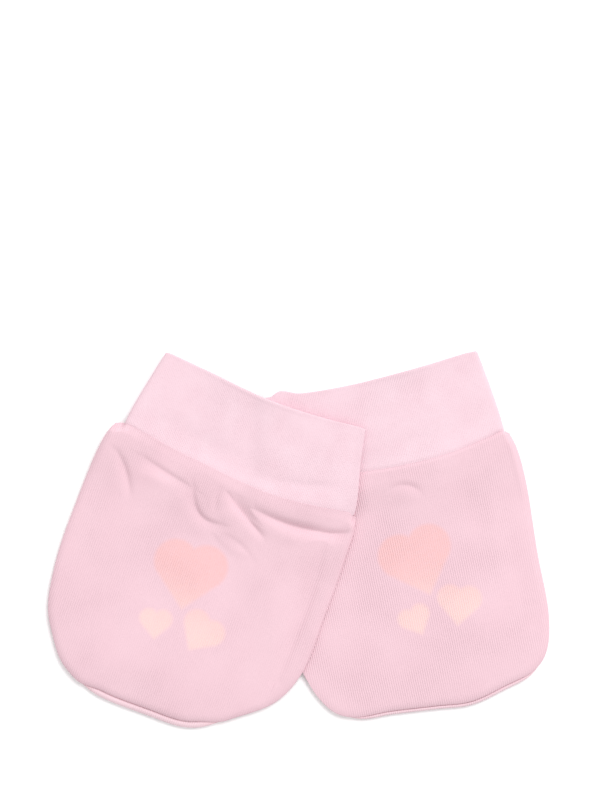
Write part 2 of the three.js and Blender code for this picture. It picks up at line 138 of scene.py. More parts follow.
# Each crease has a start, a bend, an end, its depth, its widths and its sharpness. Its left and right are as
# it runs from start to end, seen from above.
LEFT = {
    "name": "left_mitten",
    "place": (-10.75, 48.36),
    "turn": -20,
    # across, along
    "mouth": [(-36, -0.8), (-32, -0.3), (-17.7, 1.0), (0.5, 2.8), (17.7, 2.5), (31.8, 1.2), (36, 0.8)],
    # along, left, right
    "cuff_sides": [(-1, -33.0, 33.9), (14, -36.0, 37.0), (27, -38.2, 40.2), (36, -38.4, 40.6)],
    # across, along
    "seam": [
        (-41.3, 26.6),
        (-38.4, 25.7),
        (-33.4, 26.2),
        (-20.0, 28.2),
        (-9.1, 29.3),
        (4.0, 30.6),
        (16.7, 30.8),
        (28.0, 29.7),
        (38.0, 28.2),
        (41.2, 28.6),
    ],
    # across, along
    "edge": [
        (-41.3, 26.6),
        (-42.6, 29.4),
        (-43.8, 36.0),
        (-44.5, 54.0),
        (-44.3, 73.0),
        (-41.6, 89.2),
        (-37.1, 97.4),
        (-30.8, 105.0),
        (-19.3, 110.3),
        (0.0, 111.3),
        (12.4, 110.9),
        (18.7, 108.5),
        (26.6, 102.7),
        (37.5, 93.2),
        (42.4, 81.2),
        (42.9, 62.0),
        (42.9, 43.0),
        (42.4, 32.4),
        (41.2, 28.6),
    ],
    "ridge_drop": (0.0, -12, -2),  # drop, from across, to across
    "seam_swell": (20, 9, 0.45),  # across, reach, height
    "gape": (0.0, 0.6, 1.1),  # share of the half width, reach, height
    # start, bend, end, depth, left width, right width, sharpness
    "creases": [
        ((-38.0, 34.6), (-32.4, 39.0), (-29.2, 46.3), 0.80, 1.2, 2.0, 0.30),
        ((-29.5, 33.6), (-20.0, 36.4), (-9.8, 37.9), 0.62, 1.1, 3.0, 0.30),
        ((-10.6, 37.2), (-7.6, 48.2), (2.0, 45.5), 0.95, 1.0, 2.4, 0.35),
        ((-1.9, 34.2), (-3.4, 37.6), (-1.7, 41.6), 0.45, 0.9, 1.4, 0.30),
        ((0.5, 35.4), (8.4, 40.6), (15.4, 44.5), 1.50, 1.3, 1.7, 0.50),
        ((2.4, 36.9), (6.8, 39.8), (11.2, 41.9), 1.75, 2.6, 1.2, 0.10),
        ((10.0, 37.2), (26.0, 39.8), (41.0, 34.3), 2.50, 1.7, 2.4, 0.45),
        ((28.0, 37.3), (36.5, 37.0), (41.0, 33.8), 2.50, 1.7, 2.4, 0.45),
        ((3.4, 48.2), (10.6, 48.8), (15.6, 53.2), 0.28, 1.1, 1.8, 0.25),
        ((-1.0, 47.5), (0.5, 51.0), (6.0, 52.5), 0.15, 1.2, 1.6, 0.20),
        ((34.6, 39.0), (37.8, 58.0), (35.4, 86.0), 1.30, 1.5, 3.8, 0.15),
        ((-34.0, 50.0), (-38.0, 62.0), (-36.0, 76.0), 0.20, 4.0, 4.0, 0.0),
    ],
    # across, along, height, reach across, reach along: soft hills and hollows
    "hills": [
        (-36, 43, 0.30, 2.5, 5),
        (-23, 38.8, 0.30, 6, 2.2),
        (-13.5, 42.5, 0.30, 2.8, 3.5),
        (3, 42, 0.40, 2.8, 2.6),
        (21, 41.5, 0.35, 8, 2.6),
        (11, 51.6, 0.20, 5, 1.8),
        (12, 54, 0.10, 7, 5),
        (-24, 40, 0.40, 10, 7),
        (8, 84, 0.12, 14, 12),
        (-12, 98, 0.15, 10, 5),
        (40, 58, 0.25, 2.2, 20),
    ],
    "fall": (1.0, 24.0),  # the ridge below the seam falls between these distances
    # from across, to across, width: where the palm's rolled edge shows at the fingertips
    "peek": (-25, 25, 2.0),
    "seam_dip": 0.10,
    "nose": 3.2,
    "cuff_creases": [
        ((10.0, 26.6), (22.0, 26.0), (33.0, 21.0), 0.55, 1.6, 2.6, 0.0),
        ((-30.0, 20.0), (-16.0, 23.0), (2.0, 24.0), 0.18, 3.0, 3.0, 0.0),
        ((2.0, 6.0), (10.0, 12.0), (24.0, 14.0), 0.20, 5.0, 5.0, 0.0),
    ],
    "print": (0.0, 60.0),
}
RIGHT = {
    "name": "right_mitten",
    "place": (21.65, 52.16),
    "turn": 12,
    # across, along
    "mouth": [
        (-34.5, 1.8),
        (-31.9, 0.4),
        (-27.9, -1.3),
        (-22.0, 0.7),
        (-6.0, 1.5),
        (9.0, 1.0),
        (20.0, 0.3),
        (33.0, -0.8),
        (37.5, -0.6),
    ],
    # along, left, right
    "cuff_sides": [(-1, -32.6, 36.0), (12, -35.6, 37.9), (26, -38.4, 39.4), (36, -38.6, 39.4)],
    # across, along
    "seam": [
        (-41.4, 27.2),
        (-38.6, 26.2),
        (-32.0, 26.8),
        (-20.0, 28.4),
        (-8.8, 29.4),
        (4.0, 30.1),
        (17.7, 29.7),
        (27.0, 28.4),
        (34.0, 27.0),
        (39.0, 26.0),
        (41.1, 27.2),
    ],
    # across, along
    "edge": [
        (-41.4, 27.2),
        (-42.4, 31.0),
        (-43.0, 45.0),
        (-42.9, 66.0),
        (-41.8, 79.0),
        (-39.6, 88.4),
        (-36.6, 96.9),
        (-32.2, 103.2),
        (-25.1, 106.9),
        (-14.0, 107.6),
        (0.0, 108.9),
        (11.2, 109.9),
        (22.8, 107.3),
        (32.4, 104.3),
        (38.2, 98.2),
        (41.3, 87.3),
        (42.0, 66.0),
        (43.1, 42.0),
        (42.4, 32.0),
        (41.1, 27.2),
    ],
    "ridge_drop": (1.0, -6, 6),
    "seam_swell": (24, 9, 0.1),
    "gape": (0.4, 0.42, 1.0),
    "creases": [
        ((0.5, 36.6), (6.1, 35.0), (9.3, 39.6), 0.55, 1.2, 1.8, 0.35),
        ((10.0, 35.0), (20.0, 37.6), (33.0, 34.0), 0.12, 2.2, 2.2, 0.0),
        ((21.0, 40.0), (26.0, 52.0), (24.0, 66.0), 0.18, 3.4, 3.4, 0.0),
        ((35.0, 44.0), (33.0, 62.0), (35.0, 84.0), 0.20, 3.6, 3.6, 0.0),
    ],
    "hills": [
        (5, 40.5, 0.25, 4, 2.6),
        (26, 45, -0.12, 6, 8),
        (14, 84, 0.25, 14, 9),
        (30, 72, -0.1, 7, 14),
        (-10, 92, -0.2, 10, 7),
    ],
    "fall": (0.5, 24.0),
    "peek": (-32, 39, 1.1),
    "seam_dip": 0.32,
    "nose": 1.0,
    "cuff_creases": [
        ((-2.0, 24.0), (14.0, 22.0), (30.0, 24.0), 0.15, 3.0, 3.0, 0.0),
        ((10.0, 6.0), (20.0, 8.0), (28.0, 4.0), 0.25, 4.0, 4.0, 0.0),
    ],
    "print": (6.5, 57.0),
}

fine = 1.0  # mesh density


def lerp(a, b, t):
    return a + (b - a) * t


def smoothstep(x, low, high):
    t = np.clip((x - low) / (high - low), 0, 1)
    return t * t * (3 - 2 * t)


def bell(x, reach):
    return np.exp(-((x / reach) ** 2))


def quarter_round(inside, reach):
    return np.sqrt(1 - (1 - np.clip(inside / reach, 0, 1)) ** 2)


def smooth_table(rows, x, column=1):
    """A smooth function through a table's rows, from their first column to the given one."""
    x0 = np.array([row[0] for row in rows], float)
    y0 = np.array([row[column] for row in rows], float)
    ends = np.arange(len(rows))
    before, after = np.maximum(ends - 1, 0), np.minimum(ends + 1, len(rows) - 1)
    slope = (y0[after] - y0[before]) / (x0[after] - x0[before])
    at = np.clip(np.asarray(x, float), x0[0], x0[-1])
    i = np.clip(np.searchsorted(x0, at) - 1, 0, len(rows) - 2)
    span = x0[i + 1] - x0[i]
    t = (at - x0[i]) / span
    return (
        (2 * t**3 - 3 * t**2 + 1) * y0[i]
        + (t**3 - 2 * t**2 + t) * slope[i] * span
        + (3 * t**2 - 2 * t**3) * y0[i + 1]
        + (t**3 - t**2) * slope[i + 1] * span
    )


def edge_line(points, count=400):
    """Evenly spaced points of a centripetal curve through the given ones."""
    p = np.array(points, float)
    p = np.vstack([2 * p[0] - p[1], p, 2 * p[-1] - p[-2]])
    t = np.linspace(0, 1, 60, endpoint=False)[:, None]
    made = []
    for a, b, c, d in zip(p, p[1:], p[2:], p[3:]):
        ab, bc, cd = (np.linalg.norm(v) ** 0.5 for v in (b - a, c - b, d - c))
        start = ((b - a) / ab - (c - a) / (ab + bc) + (c - b) / bc) * bc
        end = ((c - b) / bc - (d - b) / (bc + cd) + (d - c) / cd) * bc
        made.append(
            (2 * t**3 - 3 * t**2 + 1) * b
            + (t**3 - 2 * t**2 + t) * start
            + (3 * t**2 - 2 * t**3) * c
            + (t**3 - t**2) * end
        )
    line = np.vstack([*made, p[-2:-1]])
    run = np.concatenate([[0], np.cumsum(np.linalg.norm(np.diff(line, axis=0), axis=1))])
    even = np.linspace(0, run[-1], count)
    return np.stack([np.interp(even, run, line[:, k]) for k in (0, 1)], axis=1)


def moved_in(line, distance):
    ahead = np.gradient(line, axis=0)
    ahead /= np.linalg.norm(ahead, axis=1)[:, None]
    return line + np.stack([ahead[:, 1], -ahead[:, 0]], axis=1) * distance[:, None]


def distance_to_line(line, x, y):
    best = np.full(np.shape(x), np.inf)
    for (ax, ay), (bx, by) in zip(line, line[1:]):
        dx, dy = bx - ax, by - ay
        t = np.clip(((x - ax) * dx + (y - ay) * dy) / (dx * dx + dy * dy), 0, 1)
        best = np.minimum(best, (x - ax - t * dx) ** 2 + (y - ay - t * dy) ** 2)
    return np.sqrt(best)


def is_inside(line, x, y):
    inside = np.zeros(np.shape(x), bool)
    for (ax, ay), (bx, by) in zip(line, np.roll(line, -1, axis=0)):
        if ay != by:
            inside ^= ((ay > y) != (by > y)) & (x < (bx - ax) * (y - ay) / (by - ay) + ax)
    return inside


def crease_depth(creases, x, y):
    """How deep the creases are. Each fades out towards its ends, and a sharp one has a narrow fold in it."""
    depth = np.zeros(np.shape(x))
    for start, bend, end, deep, left_width, right_width, sharp in creases:
        here = np.zeros(np.shape(x))
        for t in np.linspace(0, 1, 64):
            cx, cy = (lerp(lerp(start[k], bend[k], t), lerp(bend[k], end[k], t), t) for k in (0, 1))
            tx, ty = (lerp(bend[k] - start[k], end[k] - bend[k], t) for k in (0, 1))
            fade = np.sin(np.pi * (0.08 + 0.84 * t)) ** 0.8
            side = (tx * (y - cy) - ty * (x - cx)) / np.hypot(tx, ty)
            width = lerp(left_width, right_width, smoothstep(side, -0.15, 0.15))
            away = np.hypot(x - cx, y - cy) / width
            fold = (1 - sharp) * bell(away, 1) + sharp * np.exp(-((away / 0.5) ** 1.5))
            here = np.maximum(here, fade * fold)
        depth = np.maximum(depth, deep * here)
    return depth


def to_pair(mitten, across, along):
    turn = np.radians(mitten["turn"])
    x = mitten["place"][0] + across * np.cos(turn) + along * np.sin(turn)
    y = mitten["place"][1] + across * np.sin(turn) - along * np.cos(turn)
    return x, y


def from_pair(mitten, x, y):
    turn = np.radians(mitten["turn"])
    dx, dy = x - mitten["place"][0], y - mitten["place"][1]
    return dx * np.cos(turn) + dy * np.sin(turn), dx * np.sin(turn) - dy * np.cos(turn)


class Field:
    """Values on an even grid of the pair's frame, read between its points."""

    def __init__(self, around, margin, values_at, step=1.0):
        low, high = around.min(axis=0) - margin, around.max(axis=0) + margin
        self.step, self.low = step, low
        sides = (np.arange(low[k], high[k], step) for k in (0, 1))
        values = values_at(*np.meshgrid(*sides, indexing="ij"))
        reach = 3
        kernel = bell(np.arange(-reach, reach + 1), 1.6)
        kernel /= kernel.sum()

        def soften(row):
            return np.convolve(np.pad(row, reach, "edge"), kernel, "valid")

        for axis in (0, 1):  # cloth that drapes has no sharp folds
            values = np.apply_along_axis(soften, axis, values)
        self.values = values

    def __call__(self, x, y):
        v = self.values
        i = np.clip((x - self.low[0]) / self.step, 0, v.shape[0] - 1.001)
        j = np.clip((y - self.low[1]) / self.step, 0, v.shape[1] - 1.001)
        a, b = i.astype(int), j.astype(int)
        i, j = i - a, j - b
        before = v[a, b] * (1 - i) + v[a + 1, b] * i
        after = v[a, b + 1] * (1 - i) + v[a + 1, b + 1] * i
        return before * (1 - j) + after * j


def whole_outline(mitten):
    """The outline of cuff and bag together, in the mitten's own frame."""
    sides = [row for row in mitten["cuff_sides"] if row[0] < 30]
    left = [(row[1], max(row[0], 0)) for row in sides]
    right = [(row[2], max(row[0], 0)) for row in reversed(sides)]
    return np.vstack([left, edge_line(mitten["edge"], 90), right])


def distances(mitten, x, y):
    """How far points of the pair's frame are inside and outside a mitten, and how far along it they lie."""
    outline = whole_outline(mitten)
    across, along = from_pair(mitten, x, y)
    away = distance_to_line(np.vstack([outline, outline[:1]]), across, along)
    inside = is_inside(outline, across, along)
    return np.where(inside, away, 0), np.where(inside, 0, away), along


def cover_of(lower):
    """How high the upper mitten is carried by the lower one, eased down around it."""

    def carried(x, y):
        inside, outside, along = distances(lower, x, y)
        share = smoothstep(along, *CARRY_CHANGES)
        side, more, reach, drape = (lerp(a, b, share) for a, b in zip(CUFF_CARRIES, BAG_CARRIES))
        return side * np.clip(1 - outside / drape, 0, 1) ** 2 + more * (1 - np.exp(-inside / reach))

    around = np.stack(to_pair(lower, *whole_outline(lower).T), axis=-1)
    return Field(around, CUFF_CARRIES[-1] + 6, carried)


def press_of(upper):
    """Where the upper mitten presses the lower one flat, from 0 to 1."""

    def pressed(x, y):
        _, outside, _ = distances(upper, x, y)
        return 1 - smoothstep(outside, 0.0, PRESS_REACH)

    around = np.stack(to_pair(upper, *whole_outline(upper).T), axis=-1)
    return Field(around, PRESS_REACH + 6, pressed)


def on_other(lifted, sure=2.0):
    """Whether cloth lies on the other mitten, from 0 to 1, by how high that carries it."""
    return smoothstep(lifted, 0.5, sure)


def panel_points(line, mitten, across_shares, along_shares):
    """A panel's grid of points between its seam line and its outline."""
    left_corner = int(np.argmax(line[:, 1] - line[:, 0]))
    right_corner = int(np.argmax(line[:, 1] + line[:, 0]))
    last = len(line) - 1

    def stretch(start, end, share):
        at = lerp(start, end, share)
        return np.stack([np.interp(at, np.arange(last + 1), line[:, k]) for k in (0, 1)], axis=-1)

    s, t = across_shares[None, :, None], along_shares[:, None, None]
    seam_across = lerp(line[0, 0], line[-1, 0], across_shares)
    top = np.stack([seam_across, smooth_table(mitten["seam"], seam_across)], axis=-1)[None]
    tip = stretch(left_corner, right_corner, across_shares)[None]
    left = stretch(0, left_corner, along_shares)[:, None]
    right = stretch(last, right_corner, along_shares)[:, None]
    grid = (1 - t) * top + t * tip + (1 - s) * left + s * right
    corners_left = (1 - t) * top[:, :1] + t * tip[:, :1]
    corners_right = (1 - t) * top[:, -1:] + t * tip[:, -1:]
    grid -= (1 - s) * corners_left + s * corners_right
    return grid[..., 0], grid[..., 1]


def spread(count, ends, crowding=0.25):
    """Shares from 0 to 1, closer together towards the two borders, with extra ones beside them."""
    x = np.linspace(0, 1, int(count * fine) + 1)
    shares = (1 - crowding) * x + crowding * (0.5 - 0.5 * np.cos(np.pi * x))
    return np.unique(np.concatenate([shares, ends, 1 - np.array(ends)]))


def slope_of(x, y, z):
    """How steep a grid of points is: the rise for each unit gone sideways."""
    a = np.stack([np.gradient(v, axis=0) for v in (x, y, z)])
    b = np.stack([np.gradient(v, axis=1) for v in (x, y, z)])
    normal = np.cross(a, b, axis=0)
    return np.hypot(normal[0], normal[1]) / np.abs(normal[2])


def store(piece, name, values):
    layer = piece.data.attributes.new(name, "FLOAT", "POINT")
    layer.data.foreach_set("value", np.asarray(values, float).ravel())


def make_piece(name, points, faces, cloth, material, node):
    """A mesh from points in millimetres in the pair's frame. The cloth's own coordinates are its UV map."""
    mesh = bpy.data.meshes.new(name)
    mesh.from_pydata((np.asarray(points) * MM).tolist(), [], faces.tolist())
    uv = mesh.uv_layers.new(name="cloth")
    corner_vertex = np.empty(len(mesh.loops), int)
    mesh.loops.foreach_get("vertex_index", corner_vertex)
    uv.data.foreach_set("uv", (np.asarray(cloth)[corner_vertex] * MM).ravel())
    mesh.polygons.foreach_set("use_smooth", [True] * len(mesh.polygons))
    mesh.materials.append(material)
    piece = bpy.data.objects.new(name, mesh)
    bpy.context.scene.collection.objects.link(piece)
    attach(piece, "root")
    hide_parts(node)
    return piece


def wall_faces(rows, columns):
    """Faces of a closed wall: a grid of top points, one of bottom points, strips between their borders."""
    top = np.arange(rows * columns).reshape(rows, columns)
    low = top + rows * columns

    def strip(a, b, c, d):
        return np.stack([a, b, c, d], axis=-1).reshape(-1, 4)

    return np.vstack(
        [
            strip(top[:-1, :-1], top[1:, :-1], top[1:, 1:], top[:-1, 1:]),
            strip(low[:-1, :-1], low[:-1, 1:], low[1:, 1:], low[1:, :-1]),
            strip(top[0, :-1], top[0, 1:], low[0, 1:], low[0, :-1]),
            strip(top[-1, 1:], top[-1, :-1], low[-1, :-1], low[-1, 1:]),
            strip(top[1:, 0], top[:-1, 0], low[:-1, 0], low[1:, 0]),
            strip(top[:-1, -1], top[1:, -1], low[1:, -1], low[:-1, -1]),
        ]
    )


def make_wall(name, mitten, across, along, top, bottom, material):
    x, y = to_pair(mitten, across, along)
    points = np.vstack([np.stack([x, y, z], axis=-1).reshape(-1, 3) for z in (top, bottom)])
    cloth = np.tile(np.stack([across, along], axis=-1).reshape(-1, 2), (2, 1))
    return make_piece(name, points, wall_faces(*x.shape), cloth, material, name)


def seam_swell(mitten, across):
    at, reach, height = mitten["seam_swell"]
    return height * bell(across - at, reach)


def ridge_drop(mitten, across):
    drop, start, end = mitten["ridge_drop"]
    return drop * (1 - smoothstep(across, start, end))


def kept_height(mitten, across, along, pressed):
    """The share of its height that a mitten keeps under or on the other one."""
    place = to_pair(mitten, across, along)
    thinned = THINNED_ON_OTHER + TAPERED_ON_OTHER * smoothstep(across, *TAPER_RUN)
    return 1 - pressed * mitten["press"](*place) - thinned * on_other(mitten["under"](*place), 3.0)


def cuff_top(mitten, across, along, share, sideways):
    """The cuff's upper surface. share goes from 0 at the mouth to 1 at the seam, sideways from -1 to 1."""
    at, reach, height = mitten["gape"]
    gape = height * bell(sideways - at, reach) * np.clip(1 - share / GAPE_LENGTH, 0, 1) ** 2
    dome = CUFF_DOME * np.sin(np.pi * np.clip(share, 0, 1))
    surface = CUFF_HEIGHT + (gape + dome) * np.maximum(1 - sideways**2, 0)
    surface += (seam_swell(mitten, across) - ridge_drop(mitten, across)) * smoothstep(share, 0.7, 1)
    rising = np.clip((share - CUFF_RISE_FROM) / (1 - CUFF_RISE_FROM), 0, 1)
    surface += CUFF_RISE * rising**2 * (1 - sideways**6)
    surface -= crease_depth(mitten["cuff_creases"], across, along)
    return surface * kept_height(mitten, across, along, PRESSED_CUFF)


def cuff_at_seam(mitten, across, along):
    return cuff_top(mitten, across, along, 1.0, across / SEAM_HALF) - mitten["seam_dip"]


def bag_top(mitten, across, along, inside, below):
    """The back of the bag before its edge is rounded and its seam let in."""
    ridge = RIDGE_HEIGHT + seam_swell(mitten, across) - ridge_drop(mitten, across)
    bag = BAG_HEIGHT + BAG_PUFF * (1 - np.exp(-inside / PUFF_REACH))
    creased = crease_depth(mitten["creases"], across, along) * smoothstep(below, *CREASES_START)
    surface = lerp(ridge, bag, smoothstep(below, *mitten["fall"])) - creased
    for at_across, at_along, height, reach_across, reach_along in mitten["hills"]:
        surface += height * bell(across - at_across, reach_across) * bell(along - at_along, reach_along)
    surface += puckers(mitten, across, below)
    pressed = lerp(PRESSED_CUFF, PRESSED_BAG, smoothstep(below, *PRESS_CHANGES))
    return surface * kept_height(mitten, across, along, pressed)


def back_top(mitten, across, along, inside, lifted):
    """The back-of-hand panel's upper surface, which starts on the cuff and is rounded down to the rim."""
    below = np.maximum(along - smooth_table(mitten["seam"], across), 0)
    surface = bag_top(mitten, across, along, inside, below)
    rim = lerp(RIM_HEIGHT, RIM_ON_OTHER, on_other(lifted))
    left, right = (smooth_table(mitten["cuff_sides"], along, side) for side in (1, 2))
    beside_cuff = smoothstep(np.maximum(left - across, across - right), -0.4, 0.9)
    on_cuff = lerp(cuff_at_seam(mitten, across, along) + BACK_ON_CUFF, rim, beside_cuff)
    nosed = lerp(np.minimum(on_cuff, surface), surface, smoothstep(below, -0.1, mitten["nose"]))
    return lerp(np.minimum(rim, nosed), nosed, quarter_round(inside, EDGE_ROUND))


def puckers(mitten, across, below):
    """Small uneven gathers that run down from the seam, as the bag is wider than the cuff."""
    rng = np.random.default_rng(len(mitten["seam"]))
    total = np.zeros(np.shape(across))
    at = -40.0
    while at < 40:
        at += rng.uniform(2.6, 5.4)
        lean, reach = rng.uniform(-0.25, 0.25), rng.uniform(0.8, 1.5)
        length, depth = rng.uniform(4, 9), rng.uniform(0.03, 0.11)
        total -= depth * bell(across - at - lean * below, reach) * np.exp(-below / length)
    return total * smoothstep(below, 0.5, 3.0)


def peek_share(mitten, across, along):
    """How far the palm's rolled edge shows, from 0 to 1."""
    start, end, _ = mitten["peek"]
    middleness = np.clip((across - start) * (end - across) / ((end - start) / 2) ** 2, 0, 1)
    return smoothstep(middleness, 0, 0.6) * smoothstep(along, TIP_STARTS, TIP_ENDS)


def peek_width(mitten, across, along):
    return mitten["peek"][2] * peek_share(mitten, across, along)


def make_back(mitten, material):
    outline = edge_line(mitten["edge"])
    edge = moved_in(outline, peek_width(mitten, *outline.T))
    even = np.linspace(0, 1, int(BACK_ROWS * fine) + 1)
    rows = 0.45 * even + 0.55 * even**2.4  # closer together towards the seam
    rows = np.unique(np.concatenate([rows, BACK_TIP_ROWS]))
    across, along = panel_points(edge, mitten, spread(BACK_COLUMNS, BACK_SIDE_COLUMNS), rows)
    x, y = to_pair(mitten, across, along)
    lifted = mitten["under"](x, y)
    inside = distance_to_line(edge, across, along)
    top = back_top(mitten, across, along, inside, lifted) + lifted
    wall = top - JERSEY * np.hypot(1, slope_of(x, y, top))
    below = along - smooth_table(mitten["seam"], across)
    over_tuck = (below < CUFF_TUCK + 0.5) & (np.abs(across) < 38)
    over_cuff = np.where(over_tuck, cuff_at_seam(mitten, across, along) + LEAST_GAP, 0)
    over_palm = smoothstep(inside, 0.3, 0.6) + 1 - smoothstep(lifted, 0.2, 1.8)
    over_palm = (palm_thickness(lifted) + PALM_GAP) * np.minimum(over_palm, 1)
    bottom = np.maximum(wall, lifted + np.maximum(over_palm, over_cuff))
    bottom = np.minimum(bottom, top - LEAST_WALL)
    back = make_wall(mitten["name"] + "_back", mitten, across, along, top, bottom, material)
    # Painted shade along the back's rounded edge, from 0 to 1, left off where it lies on the other mitten.
    edge_shade_share = (1 - smoothstep(inside, 0.2, EDGE_SHADE_REACH)) * (1 - on_other(lifted))
    store(back, "painted_edge_shade", np.stack([edge_shade_share, edge_shade_share]))
    return back


def palm_thickness(lifted):
    return lerp(JERSEY, PALM_ON_OTHER, on_other(lifted))


def make_palm(mitten, material):
    outline = edge_line(mitten["edge"])
    edge = moved_in(outline, SIDE_TUCK * (1 - peek_share(mitten, *outline.T)))
    shares = spread(PALM_STEPS, PALM_BORDERS)
    across, along = panel_points(edge, mitten, shares, shares)
    lifted = mitten["under"](*to_pair(mitten, across, along))
    inside = distance_to_line(edge, across, along)
    curl = lerp(PALM_CURL, CURL_ON_OTHER, on_other(lifted)) * (1 - quarter_round(inside, PALM_ROUND))
    showing = peek_share(mitten, across, along)
    strip = np.maximum(peek_width(mitten, across, along), 0.3)
    roll = PEEK_ROLL * np.sin(np.pi * np.clip(inside / strip, 0, 1)) * showing
    edge_rise = 0.15 * (1 - smoothstep(np.maximum(inside - strip, 0), 0, 0.4))
    top = palm_thickness(lifted) + edge_rise + roll
    palm = make_wall(mitten["name"] + "_palm", mitten, across, along, lifted + top, lifted + curl, material)
    # Painted light on the palm's rolled edge where it shows, from 0 to 1.
    painted_light = (1 - smoothstep(inside, strip, strip + 0.3)) * showing
    store(palm, "painted_edge_light", np.stack([painted_light, painted_light]))
    return palm


def cuff_round():
    """Places round the cuff's tube: how far to its side, from -1 to 1, and the angle from straight up."""
    side = np.linspace(-1, 1, int(CUFF_FLAT_STEPS * fine) + 1)
    turn = np.linspace(0, np.pi, CUFF_SIDE_STEPS + 1)[1:-1]
    offset = np.concatenate([side, np.ones(len(turn)), -side, -np.ones(len(turn))])
    angle = np.concatenate([0 * side, turn, 0 * side + np.pi, turn + np.pi])
    return offset, angle


def cuff_rings():
    """The tube's rings, from its tucked end out to the mouth, round the fold there, and back inside.

    Each has its share of the way from mouth to seam, how far it lies beyond that, and its depth in the cloth,
    from 0 on the outside to 1 on the inside.
    """
    out_shares = 1 - 0.95 * np.linspace(0, 1, int(CUFF_OUTER_RINGS * fine)) ** 1.35
    in_shares = np.linspace(0.05, 1, CUFF_INNER_RINGS)
    fold = np.linspace(0, np.pi, CUFF_MOUTH_STEPS + 1)
    fold_beyond = RIB / 2 * (1 - np.sin(fold) ** FOLD_BLUNT)
    fold_depth = (1 - np.sign(np.cos(fold)) * np.abs(np.cos(fold)) ** FOLD_BLUNT) / 2
    share = np.concatenate([[1, 1, 1], out_shares, 0 * fold, in_shares, [1, 1]])
    beyond = [[CUFF_TUCK, 2, 0.8], 0 * out_shares, fold_beyond, 0 * in_shares, [2, CUFF_TUCK]]
    depth = [[0, 0, 0], 0 * out_shares, fold_depth, 1 + 0 * in_shares, [1, 1]]
    return share[:, None], np.concatenate(beyond)[:, None], np.concatenate(depth)[:, None]


def tube_faces(rows, columns):
    """Faces between rings that are closed, and between the last ring and the first."""
    index = np.arange(rows * columns).reshape(rows, columns)
    after, beside = np.roll(index, -1, axis=0), np.roll(index, -1, axis=1)
    return np.stack([index, beside, np.roll(after, -1, axis=1), after], axis=-1).reshape(-1, 4)


def blunted(v):
    return np.sign(v) * np.abs(v) ** CUFF_BLUNT


def make_cuff(mitten, material):
    """A flattened tube of rib, doubled by the fold at its mouth."""
    offset, angle = cuff_round()
    share, beyond, depth = cuff_rings()
    mouth_middle, seam_middle = (smooth_table(mitten[line], 0.0) for line in ("mouth", "seam"))
    middle_along = lerp(mouth_middle, seam_middle, share) + beyond
    narrowing = np.where(share == 1, TUCK_NARROWS * smoothstep(beyond, 0, 1.2), 0)
    left = smooth_table(mitten["cuff_sides"], middle_along, 1) + narrowing
    right = smooth_table(mitten["cuff_sides"], middle_along, 2) - narrowing
    flat_half = (right - left) / 2 - CUFF_HEIGHT / 2
    base = (left + right) / 2 + offset * flat_half
    mouth, seam = (smooth_table(mitten[line], base) for line in ("mouth", "seam"))
    along = lerp(mouth, seam, share) + beyond

    low = (JERSEY + 0.4) * (1 - smoothstep(seam - along, 0.6, 3.5))  # its underside rises onto the palm
    sideways = offset * flat_half / (flat_half + CUFF_HEIGHT / 2)
    dip = mitten["seam_dip"] * bell(np.maximum(seam - along, 0), 0.7)
    half = (cuff_top(mitten, base, along, share, sideways) - dip - low) / 2
    within = depth * np.minimum(RIB, half - 0.2)
    across = base + blunted(np.sin(angle)) * (CUFF_HEIGHT / 2 - within)
    x, y = to_pair(mitten, across, along)
    z = low + half + blunted(np.cos(angle)) * (half - within) + mitten["under"](x, y)

    underside_starts = 80  # so that the knit doesn't mirror the upper side's
    girth = np.where(np.cos(angle) >= 0, across, 2 * base - across + underside_starts)
    cloth = np.stack([girth, along * (1 - 2 * depth)], axis=-1).reshape(-1, 2)
    points = np.stack([x, y, z], axis=-1).reshape(-1, 3)
    name = mitten["name"] + "_cuff"
    cuff = make_piece(name, points, tube_faces(*x.shape), cloth, material, name)
    # Painted shade along the cuff's sides and its mouth's fold, from 0 to 1.
    to_side = np.minimum(across - left, right - across)
    edge_shade_share = 1 - smoothstep(np.minimum(to_side, along - mouth), 0.2, EDGE_SHADE_REACH)
    store(cuff, "painted_edge_shade", edge_shade_share)
    return cuff


class Nodes:
    """Short names for building a material's nodes."""

    def __init__(self, name):
        self.material = bpy.data.materials.new(name)
        self.material.use_nodes = True
        self.tree = self.material.node_tree
        self.shader = self.tree.nodes["Principled BSDF"]

    def add(self, kind, inputs=(), **settings):
        node = self.tree.nodes.new(kind)
        for key, value in settings.items():
            setattr(node, key, value)
        for socket, value in dict(inputs).items():
            self.put(value, node.inputs[socket])
        return node

    def put(self, value, socket):
        if isinstance(value, bpy.types.NodeSocket):
            self.tree.links.new(value, socket)
        else:
            socket.default_value = value

    def math(self, operation, *values):
        node = self.tree.nodes.new("ShaderNodeMath")
        node.operation = operation
        for socket, value in zip(node.inputs, values):
            self.put(value, socket)
        return node.outputs[0]

    def attribute(self, name):
        return self.add("ShaderNodeAttribute", attribute_name=name).outputs["Fac"]

    def map_range(self, value, low, high, to_low=0.0, to_high=1.0):
        inputs = {0: value, 1: low, 2: high, 3: to_low, 4: to_high}
        return self.add("ShaderNodeMapRange", inputs).outputs[0]

    def noise(self, scale, detail, coordinates):
        inputs = {"Scale": scale, "Detail": detail, "Roughness": 0.55, "Vector": coordinates}
        return self.add("ShaderNodeTexNoise", inputs).outputs["Fac"]

    def mix(self, share, a, b):
        node = self.add("ShaderNodeMix", data_type="RGBA")
        colours = [s for s in node.inputs if s.type == "RGBA"]
        self.put(share, node.inputs[0])
        self.put(a, colours[0])
        self.put(b, colours[1])
        return next(s for s in node.outputs if s.type == "RGBA")


def linear(r, g, b):
    """A colour as light, from its 0 to 255 screen values."""
    c = np.array([r, g, b]) / 255
    return (*np.where(c <= 0.04045, c / 12.92, ((c + 0.055) / 1.055) ** 2.4).tolist(), 1.0)


